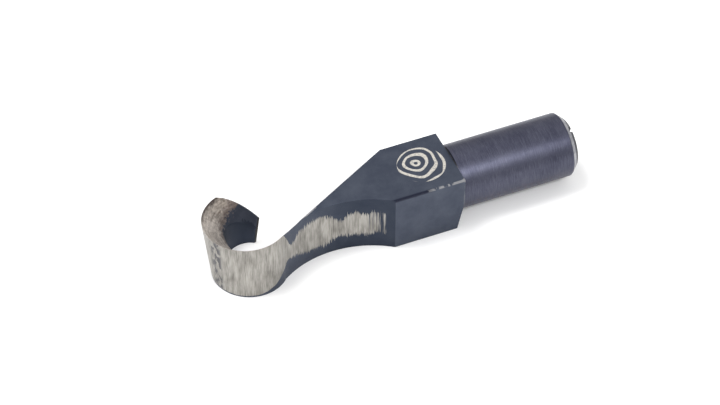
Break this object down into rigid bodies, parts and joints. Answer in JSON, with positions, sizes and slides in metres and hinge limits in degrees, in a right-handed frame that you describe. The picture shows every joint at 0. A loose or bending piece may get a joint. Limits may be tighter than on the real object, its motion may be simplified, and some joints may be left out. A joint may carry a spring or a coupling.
{
  "type": "hook knife",
  "caption": "Exchangeable hook cutter: a flat tapering head that curls into an open ring with an inner ground bevel, on a plain round shank.",
  "frame": {"origin": "on the shank's axis, in the plane of the head's back face, where the shank's round wall starts", "axes": "+X runs along the shank to its free end and the hook lies towards -X; +Z is the side the hook's cutting rim is on; -Y is the side of the neck's hollow arc"},
  "size_m": [0.0951, 0.0206, 0.0164],
  "materials": {
    "blade_steel": "blackened tool steel, ground bare and scratched on the hook and along the neck",
    "shank_steel": "turned and blackened, with fine tool marks round it",
    "braze_filler": "darkened with the rest of the tool"
  },
  "bodies": {
    "root": {"hook_blade": "blade_steel", "shank": "shank_steel", "braze_joint": "braze_filler"}
  },
  "joints": []
}
